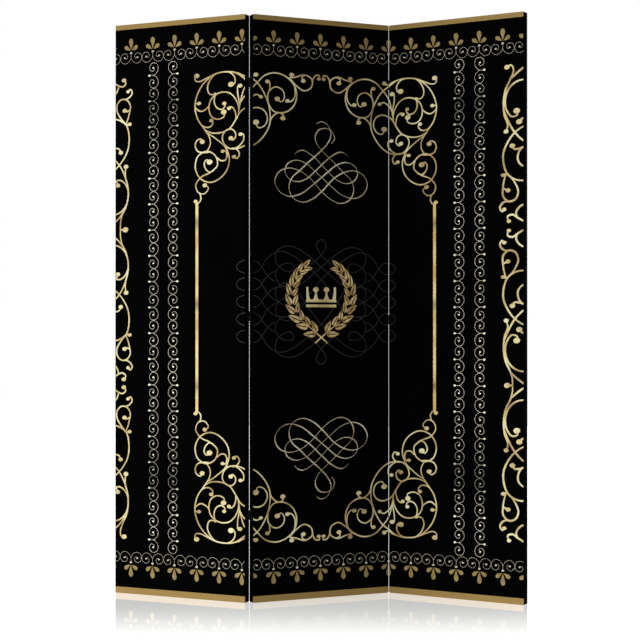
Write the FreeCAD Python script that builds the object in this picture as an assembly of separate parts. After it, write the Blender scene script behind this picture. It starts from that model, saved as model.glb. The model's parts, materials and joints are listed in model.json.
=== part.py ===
"""A three panel folding screen: canvas stretched over pine frames, joined by small butt hinges.

Each panel is built in its own frame: u runs along its width from its middle, y from the front face
to the back, and z up from the floor. The three panels are then set in a zigzag about the hinge pins.
Lengths are in millimetres.
"""
import FreeCAD, Part
import os

# Panels
panel_width = 450.0
panel_height = 1720.0
left_turn_degrees = -27.0  # turns about the vertical, as the screen stands
middle_turn_degrees = 26.0
right_turn_degrees = -32.5

# Pine frame
bar_thickness = 23.4
stile_width = 40.0
rail_width = 40.0
cross_rail_width = 40.0
cross_rail_height = 860.0  # the middle of the cross rail above the floor
dowel_radius = 4.0
dowel_length = 40.0
dowel_spacing = 20.0
dowel_clearance = 0.1
dowel_end_clearance = 1.0

# Canvas, lining and staples
canvas_thickness = 0.6
canvas_ease = 0.05  # between the frame and the canvas
flap_width = 30.0  # the canvas turned in at the back
edge_radius = 1.0  # rounded edges of the covered panel
lining_thickness = 0.4
lining_inset = 10.0  # from the panel's edges
staple_inset = 20.0  # from the panel's edges
staple_pitch = 110.0
staple_crown = 10.0
staple_leg = 8.0
staple_wire = 0.8  # width of the flat wire
staple_height = 0.5  # thickness of the flat wire
staple_clearance = 0.05

# Hinges
left_bottom_hinge_height = 254.0  # the middle of the hinge above the floor
left_middle_hinge_height = 837.0
left_top_hinge_drop = 197.0  # the middle of the hinge below the panel's top
right_bottom_hinge_height = 220.0
right_middle_hinge_height = 827.0
right_top_hinge_drop = 181.0
hinge_height = 30.0
leaf_thickness = 0.5
leaf_proud = 0.1  # of a leaf above the canvas that it is let into
leaf_reach = 16.0  # of a leaf along the panel's edge, from the face beside the pin
leaf_gap = 0.3  # between the two leaves when the panels are in line
leaf_relief = 0.4  # between a leaf and the other leaf's knuckle
recess_clearance = 0.1  # round a leaf
knuckle_gap = 0.3
knuckle_clearance = 0.1  # round a knuckle that is let into the canvas
front_pin_offset = 0.35  # of a pin in front of the panel's face
back_fold_clearance = 0.1  # between a staple and the middle plane of two backs folded together
pin_radius = 0.5
pin_clearance = 0.05
pin_head_radius = 0.9
pin_head_height = 0.6

# Hinge screws
screw_radius = 1.25
screw_head_radius = 2.35
screw_length = 16.0
screw_tip = 3.0
screw_spacing = 16.0
screw_place = 7.5  # of a screw from the face beside the pin
screw_clearance = 0.05
screw_tip_radius = 0.3
screw_cross_width = 0.6
screw_cross_reach = 1.4
screw_cross_depth = 0.5

# Worked out
canvas_depth = bar_thickness + 2 * canvas_ease + 2 * canvas_thickness
panel_thickness = canvas_depth + lining_thickness
frame_inset = canvas_thickness + canvas_ease
half_width = panel_width / 2
bore_radius = pin_radius + pin_clearance
knuckle_radius = bore_radius + leaf_thickness
leaf_sink = leaf_thickness - leaf_proud
pin_to_edge = leaf_gap / 2 + leaf_proud
back_pin_offset = staple_height + back_fold_clearance  # of a pin behind the lining
screw_head_height = screw_head_radius - screw_radius
hinge_heights = {
    "left": {
        "bottom": left_bottom_hinge_height,
        "middle": left_middle_hinge_height,
        "top": panel_height - left_top_hinge_drop,
    },
    "right": {
        "bottom": right_bottom_hinge_height,
        "middle": right_middle_hinge_height,
        "top": panel_height - right_top_hinge_drop,
    },
}
overshoot = 1.0  # of a cutting shape past the face that it cuts

UP = FreeCAD.Vector(0, 0, 1)
ALONG = FreeCAD.Vector(1, 0, 0)


def box(low, high):
    """A box from its lowest and its highest corner."""
    size = [b - a for a, b in zip(low, high)]
    return Part.makeBox(*size, FreeCAD.Vector(*low))


def slab(inset, y_low, y_high, radius):
    """A panel sized slab, inset from the panel's outline, with all its edges rounded."""
    body = box(
        (-half_width + inset, y_low, inset),
        (half_width - inset, y_high, panel_height - inset),
    )
    return body.makeFillet(radius, body.Edges)


def turned(angle, base=FreeCAD.Vector(0, 0, 0), about=FreeCAD.Vector(0, 0, 0)):
    """A placement that turns by angle about the vertical and puts the point about at base."""
    turn = FreeCAD.Rotation(UP, angle)
    return FreeCAD.Placement(base - turn.multVec(about), turn)


def frame_bars():
    """The five bars of a frame, whose outer edges are eased as the canvas bends over them."""
    y_low = frame_inset
    y_high = y_low + bar_thickness
    envelope = slab(frame_inset, y_low, y_high, edge_radius - canvas_thickness)
    outer = half_width - frame_inset
    inner = outer - stile_width
    bottom = frame_inset
    top = panel_height - frame_inset
    cross_low = cross_rail_height - cross_rail_width / 2
    spans = {
        "left_stile": ((-outer, bottom), (-inner, top)),
        "right_stile": ((inner, bottom), (outer, top)),
        "top_rail": ((-inner, top - rail_width), (inner, top)),
        "bottom_rail": ((-inner, bottom), (inner, bottom + rail_width)),
        "cross_rail": ((-inner, cross_low), (inner, cross_low + cross_rail_width)),
    }
    bars = {}
    for name, (low, high) in spans.items():
        bar = box((low[0], y_low, low[1]), (high[0], y_high, high[1]))
        bars[name] = bar.common(envelope)
    return bars


def dowel_places():
    """Where each dowel starts, on the axis from the left stile to the right."""
    seam = half_width - frame_inset - stile_width
    middle = frame_inset + bar_thickness / 2
    rail_middles = (
        frame_inset + rail_width / 2,
        cross_rail_height,
        panel_height - frame_inset - rail_width / 2,
    )
    places = []
    for height in rail_middles:
        for side in (-1, 1):
            for step in (-0.5, 0.5):
                start = side * seam - dowel_length / 2
                places.append(FreeCAD.Vector(start, middle, height + step * dowel_spacing))
    return places


def dowels(clearance, end_clearance):
    """All the dowels of a frame, or the holes for them."""
    length = dowel_length + 2 * end_clearance
    rods = []
    for place in dowel_places():
        start = place - ALONG * end_clearance
        rods.append(Part.makeCylinder(dowel_radius + clearance, length, start, ALONG))
    return Part.makeCompound(rods)


def staple_steps(length):
    """Even places along a side of this length, symmetric about its middle, clear of the corners."""
    run = length - 4 * staple_inset
    count = max(2, round(run / staple_pitch) + 1)
    return [run * (k / (count - 1) - 0.5) for k in range(count)]


def staple(clearance):
    """One staple on the back face at the origin, its crown along u and its legs into the panel."""
    half = staple_crown / 2 + clearance
    wire = staple_wire / 2 + clearance
    legs = []
    for side in (-1, 1):
        outer = side * half
        inner = side * (half - 2 * wire)
        legs.append(box((min(outer, inner), -staple_leg - clearance, -wire), (max(outer, inner), 0, wire)))
    crown = box((-half, 0, -wire), (half, staple_height, wire))
    return crown.fuse(legs).removeSplitter()


def staples(clearance):
    """All the staples of a panel's back, or the holes for their legs."""
    across = half_width - staple_inset
    middle = panel_height / 2
    places = []
    for height in staple_steps(panel_height):
        places += [(side * across, middle + height, 90) for side in (-1, 1)]
    for along in staple_steps(panel_width):
        places += [(along, middle + side * (middle - staple_inset), 0) for side in (-1, 1)]
    one = staple(clearance)
    group = []
    for along, height, angle in places:
        spot = FreeCAD.Vector(along, panel_thickness, height)
        turn = FreeCAD.Rotation(FreeCAD.Vector(0, 1, 0), angle)
        group.append(one.transformed(FreeCAD.Placement(spot, turn).toMatrix()))
    return Part.makeCompound(group)


def canvas():
    """The printed canvas: a tray over the front and the edges, turned in at the back."""
    outer = slab(0, 0, canvas_depth, edge_radius)
    inner = slab(
        canvas_thickness,
        canvas_thickness,
        canvas_depth - canvas_thickness,
        edge_radius - canvas_thickness,
    )
    opening = box(
        (-half_width + flap_width, canvas_depth / 2, flap_width),
        (half_width - flap_width, panel_thickness, panel_height - flap_width),
    )
    return outer.cut(inner).cut(opening)


def back_lining():
    """The cloth that closes the back, lying on the canvas flaps."""
    return box(
        (-half_width + lining_inset, canvas_depth, lining_inset),
        (half_width - lining_inset, panel_thickness, panel_height - lining_inset),
    )


def upright(radius, low, high):
    """A cylinder about the pin's axis between two heights above the hinge's foot."""
    return Part.makeCylinder(radius, high - low, FreeCAD.Vector(0, 0, low))


def knuckle_spans(centre):
    """The heights of a leaf's own knuckles: the centre one, or the two outer ones."""
    third = hinge_height / 3
    half_gap = knuckle_gap / 2
    if centre:
        return [(third + half_gap, 2 * third - half_gap)]
    return [(0, third - half_gap), (2 * third + half_gap, hinge_height)]


def leaf(centre, joint):
    """A hinge leaf about its pin at the origin, let into the panel's edge.

    The panel's edge is the plane u = pin_to_edge, the panel lies beyond it, and its face is the
    plane y = -pin_offsets[joint], so the leaf runs towards -y from the pin.
    """
    outer = leaf_gap / 2
    inner = outer + leaf_thickness
    foot = -pin_offsets[joint] - leaf_reach
    shoulder = -knuckle_radius - leaf_relief
    body = box((outer, foot, 0), (inner, shoulder, hinge_height))
    for low, high in knuckle_spans(centre):
        tab = box((outer, shoulder, low), (inner, 0, high))
        body = body.fuse([tab, upright(knuckle_radius, low, high)])
    body = body.cut(upright(bore_radius, -overshoot, hinge_height + overshoot)).removeSplitter()
    for place in leaf_screw_places(joint):
        body = body.cut(screw(screw_clearance).translated(place))
    return body


def leaf_recess(joint):
    """What a leaf and its knuckles take out of the canvas, in the leaf's own frame."""
    foot = -pin_offsets[joint] - leaf_reach - recess_clearance
    low = (pin_to_edge - overshoot, foot, -recess_clearance)
    slot = box(low, (pin_to_edge + leaf_sink, 0, hinge_height + recess_clearance))
    end = pin_head_height + recess_clearance
    groove = upright(knuckle_radius + knuckle_clearance, -end, hinge_height + end)
    return slot.fuse(groove).removeSplitter()


def leaf_screw_places(joint):
    """Where the screws' heads lie on a leaf, in the leaf's own frame."""
    along = leaf_gap / 2
    depth = -pin_offsets[joint] - screw_place
    middle = hinge_height / 2
    return [FreeCAD.Vector(along, depth, middle + step * screw_spacing) for step in (-0.5, 0.5)]


def screw(clearance):
    """A countersunk wood screw at the origin that points along +u, or the hole for it."""
    shank = screw_radius + clearance
    head = screw_head_radius + clearance
    straight = screw_length - screw_tip
    origin = FreeCAD.Vector(0, 0, 0)
    cone = Part.makeCone(head, shank, screw_head_height, origin, ALONG)
    rod = Part.makeCylinder(shank, straight, origin, ALONG)
    tip = Part.makeCone(shank, screw_tip_radius, screw_tip, ALONG * straight, ALONG)
    return cone.fuse([rod, tip]).removeSplitter()


def driven_screw():
    """A screw with a cross in its head."""
    reach = screw_cross_reach
    half = screw_cross_width / 2
    upright_slot = box((-overshoot, -half, -reach), (screw_cross_depth, half, reach))
    level_slot = box((-overshoot, -reach, -half), (screw_cross_depth, reach, half))
    return screw(0).cut([upright_slot, level_slot])


def pin():
    """A hinge pin with a low head at each end."""
    head = pin_head_height
    shapes = [upright(pin_head_radius, -head, 0), upright(pin_head_radius, hinge_height, hinge_height + head)]
    return upright(pin_radius, -head, hinge_height + head).fuse(shapes).removeSplitter()


def edge_placement(side, joint, height):
    """Puts a leaf's frame on a panel's edge.

    side is -1 for the panel's left edge and 1 for its right edge, and the joint says whether the
    pin is at the panel's back or at its front. A half turn about the axis along y, about z, or both
    brings the leaf's frame to each of the four cases.
    """
    at_back = pin_at_back[joint]
    spot = pivot_in(side, joint) + UP * height
    if side < 0 and at_back:
        turn = FreeCAD.Rotation()
    elif side > 0 and at_back:
        turn = FreeCAD.Rotation(FreeCAD.Vector(0, 1, 0), 180)
    elif side < 0:
        turn = FreeCAD.Rotation(ALONG, 180)
    else:
        turn = FreeCAD.Rotation(UP, 180)
    lift = UP * (hinge_height / 2)
    return FreeCAD.Placement(spot - turn.multVec(lift), turn)


def placed(shape, placement):
    """A copy of a shape at a placement."""
    return shape.transformed(placement.toMatrix())


# The edges that carry hinge leaves: panel, side and joint
hinged_edges = {
    "left_panel_right": ("left", 1, "left"),
    "middle_panel_left": ("middle", -1, "left"),
    "middle_panel_right": ("middle", 1, "right"),
    "right_panel_left": ("right", -1, "right"),
}
pin_at_back = {"left": True, "right": False}  # of each joint
pin_offsets = {"left": back_pin_offset, "right": front_pin_offset}  # of a pin beyond the panel


def edge_screws(side, joint, make_screw):
    """The screws on one panel edge, or the holes for them."""
    group = []
    for height in hinge_heights[joint].values():
        place = edge_placement(side, joint, height)
        for spot in leaf_screw_places(joint):
            group.append(placed(make_screw.translated(spot), place))
    return Part.makeCompound(group)


def edge_recesses(side, joint):
    """The places that the hinge leaves take out of the canvas on one panel edge."""
    spots = [edge_placement(side, joint, height) for height in hinge_heights[joint].values()]
    return Part.makeCompound([placed(leaf_recess(joint), spot) for spot in spots])


def panel(name):
    """All the pieces of one panel, in the panel's own frame."""
    dowel_holes = dowels(dowel_clearance, dowel_end_clearance)
    staple_holes = staples(staple_clearance)
    edges = [(side, joint) for owner, side, joint in hinged_edges.values() if owner == name]
    screw_holes = [edge_screws(side, joint, screw(screw_clearance)) for side, joint in edges]
    recesses = [edge_recesses(side, joint) for side, joint in edges]
    pieces = {}
    for part, shape in frame_bars().items():
        pieces[part] = shape.cut([dowel_holes, staple_holes] + screw_holes)
    pieces["dowels"] = dowels(0, 0)
    pieces["canvas"] = canvas().cut([staple_holes] + screw_holes + recesses)
    pieces["back_lining"] = back_lining().cut(staple_holes)
    pieces["staples"] = staples(0)
    return {f"{name}_{part}": shape for part, shape in pieces.items()}


def pivot_in(side, joint):
    """The pin's axis in the frame of the panel whose edge this is."""
    offset = pin_offsets[joint]
    y = panel_thickness + offset if pin_at_back[joint] else -offset
    return FreeCAD.Vector(side * (half_width + pin_to_edge), y, 0)


def panel_placements():
    """Where the three panels stand: the outer ones turned about their pins."""
    middle = turned(middle_turn_degrees)
    left_pivot = middle.multVec(pivot_in(-1, "left"))
    right_pivot = middle.multVec(pivot_in(1, "right"))
    return {
        "left": turned(left_turn_degrees, left_pivot, pivot_in(1, "left")),
        "middle": middle,
        "right": turned(right_turn_degrees, right_pivot, pivot_in(-1, "right")),
    }


def hinge_pieces(placements):
    """The leaves, pins and screws of both joints, in the screen's frame.

    The outer panel's leaf has the centre knuckle, and the middle panel's leaf has the other two.
    """
    pieces = {}
    for edge, (owner, side, joint) in hinged_edges.items():
        panel_place = placements[owner]
        on_middle = owner == "middle"
        leaf_name = "middle_leaf" if on_middle else "outer_leaf"
        for level, height in hinge_heights[joint].items():
            spot = panel_place.multiply(edge_placement(side, joint, height))
            pieces[f"{joint}_hinge_{leaf_name}_{level}"] = placed(leaf(not on_middle, joint), spot)
            if on_middle:
                pieces[f"{joint}_hinge_pin_{level}"] = placed(pin(), spot)
        screws = edge_screws(side, joint, driven_screw())
        pieces[f"{edge}_hinge_screws"] = placed(screws, panel_place)
    return pieces


def screen():
    """Every piece of the screen, with the origin under the middle of its bounding box."""
    placements = panel_placements()
    pieces = {}
    for name, place in placements.items():
        for part, shape in panel(name).items():
            pieces[part] = placed(shape, place)
    pieces.update(hinge_pieces(placements))
    bounds = Part.makeCompound(list(pieces.values())).optimalBoundingBox()
    centre = FreeCAD.Vector(bounds.Center.x, bounds.Center.y, 0)
    for joint, side in (("left", -1), ("right", 1)):
        pivot = placements["middle"].multVec(pivot_in(side, joint)) - centre
        print(f"{joint} pin at x {pivot.x:.4f} y {pivot.y:.4f}")
    print(f"middle panel's foot at x {-centre.x:.4f} y {-centre.y:.4f}")
    return {name: shape.translated(-centre) for name, shape in pieces.items()}


os.makedirs("parts", exist_ok=True)
for node, solid in screen().items():
    solid.exportStep(f"parts/{node}.step")
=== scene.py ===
"""Dresses a three panel folding screen: wrapped canvas, gold printed ornament, lining and metal finishes.

Shapes are worked out in millimetres and become metres when they go into a mesh. A place on the print is
given as (across, down) from the top left corner of the three panels laid side by side. A place on a panel
is given as (across from its middle, depth from its front face, height above the floor).
"""
import json
from math import atan2, radians

import bmesh
import bpy
import numpy as np
from bpy.props import FloatProperty, FloatVectorProperty, PointerProperty
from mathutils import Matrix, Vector


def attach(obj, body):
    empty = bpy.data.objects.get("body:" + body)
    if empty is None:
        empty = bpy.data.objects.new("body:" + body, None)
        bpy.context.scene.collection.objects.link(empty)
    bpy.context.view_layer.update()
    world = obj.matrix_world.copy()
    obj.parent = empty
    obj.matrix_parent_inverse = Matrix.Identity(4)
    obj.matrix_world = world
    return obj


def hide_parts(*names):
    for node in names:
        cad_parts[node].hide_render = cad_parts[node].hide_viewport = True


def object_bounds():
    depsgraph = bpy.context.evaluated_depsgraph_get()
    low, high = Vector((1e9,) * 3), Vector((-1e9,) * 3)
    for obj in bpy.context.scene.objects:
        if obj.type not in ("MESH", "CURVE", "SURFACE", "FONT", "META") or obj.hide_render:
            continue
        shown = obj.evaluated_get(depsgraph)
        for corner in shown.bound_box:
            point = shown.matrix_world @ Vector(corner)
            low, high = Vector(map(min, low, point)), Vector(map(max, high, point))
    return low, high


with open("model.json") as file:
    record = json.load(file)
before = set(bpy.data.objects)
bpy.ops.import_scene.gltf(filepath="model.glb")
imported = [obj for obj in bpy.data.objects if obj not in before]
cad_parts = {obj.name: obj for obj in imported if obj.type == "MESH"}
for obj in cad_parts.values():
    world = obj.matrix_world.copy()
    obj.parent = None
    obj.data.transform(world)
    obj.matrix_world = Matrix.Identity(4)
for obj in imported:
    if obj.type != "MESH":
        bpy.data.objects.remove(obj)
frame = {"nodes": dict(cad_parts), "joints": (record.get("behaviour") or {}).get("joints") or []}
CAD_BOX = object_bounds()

bl_info = {
    "name": "Folding screen looks",
    "version": (1, 0, 0),
    "blender": (4, 5, 0),
    "location": "View3D > Sidebar > Screen",
    "description": "Builds the canvas, print, lining and finishes of a three panel folding screen",
    "category": "Object",
}

MM = 0.001
PANELS = ("left", "middle", "right")
HINGE_LEVELS = ("bottom", "middle", "top")

# Joint on each upright edge that carries hinges, by panel and side
HINGED_EDGES = {("left", 1): "left", ("middle", -1): "left", ("middle", 1): "right", ("right", -1): "right"}

MERGE_DISTANCE = 1e-6  # metres
FULL_CIRCLE = radians(360)

# Millimetres between the points of a printed stroke, a faint one and a pen line
PRINT_STEP = 2.5
FAINT_STEP = 4.0
PEN_STEP = 2.0

# The studio: half the floor's side, the camera's focal length in pixels, place and turn in degrees, the
# strength of the white surroundings as light and as seen, and lamps with place, turn in degrees and settings
FLOOR_HALF = 9.0
IMAGE_WIDTH = 640
SENSOR_WIDTH = 36.0
CAMERA_PIXELS = 1742.6
CAMERA_PLACE = (-0.0158, -5.1781, 0.8042)
CAMERA_TURN = (90.241, 0, -0.275)
DIFFUSE_WORLD = 0.11
SEEN_WORLD = 1.0
LAMPS = (
    ("overhead", "SUN", (0, 0, 4), (0, 0, 0), {"energy": 1.75, "angle": radians(50)}),
    ("soft_box", "AREA", (-11.6, -2.9, 0.86), (90, 0, -76),
     {"energy": 1330, "shape": "RECTANGLE", "size": 8.7, "size_y": 1.7}),
)

# Shade along the columns and the bars: height of its middle, and stops (metres from it, share of light left)
COLUMN_SHADE = (0.91, ((0.0, 0.78), (0.27, 1.0), (0.42, 0.80), (0.56, 0.38), (0.66, 0.95), (0.80, 0.80)))
BAR_SHADE = (0.872, ((0.0, 0.45), (0.025, 1.0), (0.215, 1.0), (0.243, 0.42), (0.268, 1.0)))

# Strokes of one corner scroll, top left, as places on the print in millimetres. The first figure is the
# radius of a ball at the stroke's start and the last that of a ball at its end. Other corners are mirror
# images.
CORNER_STROKES = (
    (9, ((286, 171), (279.5, 178), (284, 186.5), (293, 188.5), (318, 181), (350, 169), (383, 165),
         (415, 169), (447, 188), (463, 200), (490, 238), (504, 283), (504, 317), (488, 350), (452, 383),
         (415, 393), (389, 388)), 0),
    (0, ((405, 167), (430, 173), (448, 181), (459, 177)), 8),
    (0, ((385, 165), (408, 174), (417, 190), (413, 203), (403, 203)), 10),
    (0, ((345, 171), (320, 186), (292, 219), (280, 260), (289, 298), (314, 332), (330, 356), (333, 372),
         (322, 394)), 0),
    (0, ((352, 169), (330, 189), (323, 210), (330, 227), (349, 228)), 5),
    (0, ((429, 285), (420, 250), (399, 229), (376, 224), (352, 230), (335, 244), (328, 268), (338, 295),
         (360, 303), (380, 294), (378, 283)), 9.5),
    (0, ((350, 232), (346, 252), (356, 270), (374, 274), (383, 264), (380, 258)), 7),
    (0, ((428, 290), (430, 258), (425, 224), (427, 209), (433, 209)), 8),
    (0, ((430, 280), (436, 256), (448, 241), (463, 235), (475, 241)), 6.5),
    (0, ((280, 262), (288, 271), (301, 277), (315, 273), (331, 257)), 0),
    (0, ((281, 254), (287, 253), (294, 253)), 7),
    (0, ((303, 317), (318, 325), (334, 323), (342, 312), (336, 306)), 7),
    (0, ((312, 330), (332, 341), (352, 344), (374, 342), (400, 331), (418, 309), (437, 283), (462, 273),
         (487, 282), (496, 304), (484, 327), (466, 331), (459, 316)), 10),
    (0, ((419, 305), (418, 288), (410, 273), (401, 269), (396, 273)), 7),
    (0, ((415, 393), (389, 386), (376, 370), (374, 354), (383, 340), (402, 334), (416, 343), (418, 358),
         (408, 367), (402, 361)), 8),
    (0, ((414, 392), (434, 382), (446, 364), (443, 351), (435, 351)), 7),
    (0, ((405, 391), (424, 396), (431, 409), (423, 421), (413, 416)), 7),
    (0, ((325, 344), (357, 364), (386, 390), (397, 420), (391, 450), (366, 477), (334, 488), (298, 475),
         (281, 442), (290, 410), (322, 396), (351, 412), (357, 438), (336, 457), (298, 474), (283, 495),
         (291, 516), (312, 521), (326, 504), (314, 496)), 8),
    (0, ((345, 453), (328, 457), (315, 445), (312, 430), (320, 421), (330, 428)), 10),
    (0, ((333, 398), (308, 399), (289, 394), (281, 378), (287, 363), (301, 359), (305, 367)), 8.5),
    (6.5, ((374.5, 398), (383, 397), (389, 411), (384, 424), (371, 426), (356, 415)), 0),
    (0, ((386, 388), (391, 400), (390, 416)), 0),
    (0, ((293, 517), (300, 528), (300, 538), (292, 548)), 0),
    (0, ((431, 275), (437, 245), (448, 217), (463, 200), (490, 176), (523, 168), (560, 179), (585, 204),
         (591, 235), (577, 267), (545, 284), (515, 280), (499, 256), (501, 224), (524, 209), (546, 219),
         (551, 238), (541, 252), (528, 244)), 9),
    (0, ((500, 226), (504, 207), (502, 196), (496, 195)), 7.5),
    (0, ((578, 190), (586, 215), (583, 238), (570, 250), (561, 248)), 7.5),
    (0, ((562, 181), (588, 176), (620, 168), (642, 182), (640, 202), (616, 215), (592, 203),
         (573, 184)), 0),
    (0, ((622, 169), (609, 176), (613, 186)), 8),
    (0, ((570, 183), (573, 176), (575, 170)), 8),
    (0, ((644, 192), (646, 177), (655, 167), (666, 168), (664, 177)), 6.5),
    (0, ((503, 320), (509, 302), (522, 289), (545, 284)), 0),
    (0, ((538, 286), (547, 291), (546, 300)), 8.5),
)

# Strokes of the frieze that the left edge cuts off, from its top to the line it is mirrored about, and
# the two ways its stem may end on that line: in a knob that joins it to its mirror image, or in a curl
LEFT_EDGE_STROKES = (
    (0, ((-8, 166), (12, 184), (26, 187), (37, 178), (30, 168)), 8),
    (0, ((12, 184), (6, 200), (-8, 216)), 0),
    (0, ((38, 300), (50, 268), (53, 245), (40, 228), (22, 226), (7, 239), (5, 258), (20, 284), (40, 306),
         (49, 342), (44, 380), (15, 423), (-8, 442)), 0),
    (0, ((34, 226), (52, 219), (60, 207), (54, 197), (45, 203)), 6.5),
    (0, ((52, 258), (42, 263), (33, 260)), 8),
    (0, ((-8, 284), (18, 290), (40, 306)), 0),
    (0, ((36, 302), (44, 303), (51, 302)), 7),
    (0, ((-8, 375), (14, 377), (19, 387)), 8),
    (8.5, ((38, 430), (35, 448), (44, 486)), 0),
    (0, ((-8, 478), (15, 470), (31, 478), (45, 504)), 0),
    (0, ((-8, 472), (4, 476), (9, 486)), 8),
    (0, ((45, 528), (28, 560), (-8, 575)), 0),
    (0, ((36, 556), (15, 583), (-8, 602)), 0),
)
LEFT_EDGE_KNOB = (
    (0, ((-8, 404), (15, 426), (32, 455), (44, 490), (46, 515), (38, 550), (22, 581), (18, 602),
         (18, 622)), 0),
    (0, ((18, 620), (26, 620), (36, 620)), 10),
)
LEFT_EDGE_CURL = (
    (0, ((-8, 404), (15, 426), (32, 455), (44, 490), (46, 515), (40, 553), (24, 586), (18, 608),
         (22, 620), (31, 620)), 9.5),
)

# Strokes of the frieze that the right edge cuts off, as the left ones; its stem ends at the top
RIGHT_EDGE_STROKES = (
    (0, ((1358, 158), (1330, 176), (1310, 193)), 0),
    (0, ((1358, 198), (1325, 203), (1303, 221), (1291, 252), (1296, 284), (1314, 303), (1331, 297),
         (1328, 287)), 11),
    (0, ((1358, 308), (1343, 312), (1336, 319)), 10),
    (0, ((1289, 288), (1305, 323), (1322, 349), (1358, 380)), 0),
    (0, ((1358, 330), (1322, 350), (1298, 379), (1285, 410), (1286, 438), (1300, 471), (1324, 486),
         (1358, 489)), 0),
    (0, ((1358, 388), (1336, 397), (1320, 397), (1314, 388)), 9),
    (0, ((1354, 390), (1336, 405), (1332, 430), (1358, 452)), 0),
    (0, ((1298, 469), (1290, 470), (1284, 472)), 7),
    (0, ((1296, 465), (1284, 508), (1285, 535), (1302, 549), (1324, 543), (1333, 522), (1325, 500),
         (1303, 474)), 0),
    (0, ((1284, 510), (1292, 514), (1300, 517)), 8),
    (0, ((1304, 549), (1283, 553), (1274, 567), (1281, 578), (1288, 572)), 7),
    (0, ((1358, 612), (1332, 598), (1314, 588), (1299, 593), (1303, 607)), 7),
    (0, ((1358, 558), (1333, 570), (1326, 584), (1336, 601)), 0),
)
RIGHT_EDGE_KNOB = (
    (0, ((1314, 155), (1314, 174), (1308, 195), (1293, 224), (1286, 262), (1289, 298), (1299, 330),
         (1294, 345)), 8),
    (0, ((1314, 156), (1306, 156), (1297, 156)), 10),
)
RIGHT_EDGE_CURL = (
    (9, ((1297, 158), (1311, 153), (1318, 166), (1308, 193), (1293, 222), (1286, 262), (1289, 298),
         (1299, 330), (1294, 345)), 8),
)

# The woven flourish: two lines with their own top loops, then one run that the second line mirrors
FLOURISH_FIRST_LOOP = ((657, 311), (673, 304), (690, 310), (702, 327), (704, 345), (692, 369), (673, 389))
FLOURISH_SECOND_LOOP = ((706, 367), (716, 352), (709, 333), (686, 323), (664, 329), (652, 352),
                        (658, 371), (673, 389))
FLOURISH_RUN = ((650, 409), (624, 431), (600, 453), (576, 474), (566, 503), (578, 532), (609, 545),
                (646, 533), (675, 510), (719, 468), (748, 452), (784, 446), (816, 461), (827, 486),
                (812, 516), (783, 529), (748, 523), (699, 490), (653, 453), (620, 429), (587, 422),
                (560, 435), (553, 457), (566, 477), (591, 485), (622, 476), (650, 454), (675, 431),
                (705, 406), (741, 392), (754, 397), (762, 406))

# The faint flourish behind the wreath: half an end loop, counted from its row, and the strands that leave
# the left loops through their lower (1) or upper (-1) half. The rest are mirror images.
FAINT_HALF_LOOP = ((421, 0), (424, 7), (434, 14.5), (450, 18), (466, 12.5), (478, 0))
FAINT_STRANDS = (
    (738.5, 1, ((485, 728), (491, 718), (501, 708.5), (511, 700.5), (525, 694), (541, 692), (555, 694),
                (570, 700), (585, 707.5), (600, 716.5), (642, 748.5), (672, 774), (700, 806), (727, 841),
                (749, 872), (766, 888), (784, 896.5), (799, 893.5), (809, 888), (819, 877), (822, 866),
                (819, 852), (810, 840), (798, 832), (786, 826))),
    (738.5, -1, ((487, 751.5), (498, 765.5), (508, 774.5), (521, 780))),
    (789.5, 1, ((485, 777), (498, 765.5), (508, 757.5), (517, 753), (524, 752))),
    (789.5, -1, ((487, 803), (496, 818), (508, 827), (521, 836), (534, 841))),
    (840.5, 1, ((485, 829), (496, 818), (508, 806.5), (527, 798), (557, 796), (582, 795), (604, 788),
                (644, 758), (672, 737), (707, 708), (722, 698.5), (737, 689), (754, 681), (767, 677),
                (779, 676.5), (792, 678), (804, 682), (814, 688), (820, 696), (822.5, 707), (821.5, 718),
                (818, 728), (810, 737), (799, 745), (784, 751.5), (772, 751), (764, 744), (762, 736),
                (767, 729), (778, 726), (791, 727.5), (803, 733), (813, 740.5), (820, 752), (822, 763),
                (819, 775), (813, 785), (806, 791), (796, 795), (787, 796))),
)
FAINT_END_LOOP = ((630, 735), (645, 724), (660, 713), (672, 701), (684, 685), (688, 672), (683, 660),
                  (672, 655), (661, 660), (656, 672), (660, 685), (672, 701), (684, 713), (699, 724),
                  (714, 735))

# The wreath's left branch: its stem from the cut end, and each leaf pair's base, outer tip and inner tip
BRANCH_STEM = ((693, 963), (672, 945), (655, 932), (632, 914), (608, 897))
BRANCH_LEAVES = (
    ((657, 934), (613, 936), (641, 896)), ((632, 914), (588, 909), (618, 881)),
    ((608, 897), (564, 881), (604, 863)), ((590, 874), (555, 849), (596, 840)),
    ((577, 850), (554, 816), (595, 818)), ((574, 822), (559, 785), (596, 798)),
    ((577, 797), (575, 760), (604, 776)), ((585, 774), (592, 739), (613, 760)),
    ((598, 753), (612, 724), (629, 749)), ((614, 739), (636, 715), (644, 741)),
)


def linear(hex_code):
    """Linear colour of an sRGB hex code: the usual curve, straight near black and a power above."""
    channels = np.array([int(hex_code[k:k + 2], 16) / 255 for k in (0, 2, 4)])
    curve = np.where(channels <= 0.04045, channels / 12.92, ((channels + 0.055) / 1.055) ** 2.4)
    return tuple(curve.tolist())


def length(name, description, default):
    """A size in metres that a user may change."""
    return FloatProperty(name=name, description=description, default=default, unit="LENGTH", precision=4)


def colour(name, description, hex_code):
    """A colour that a user may change, given as sRGB hex."""
    return FloatVectorProperty(name=name, description=description, default=linear(hex_code), subtype="COLOR",
                               min=0, max=1)


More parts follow.
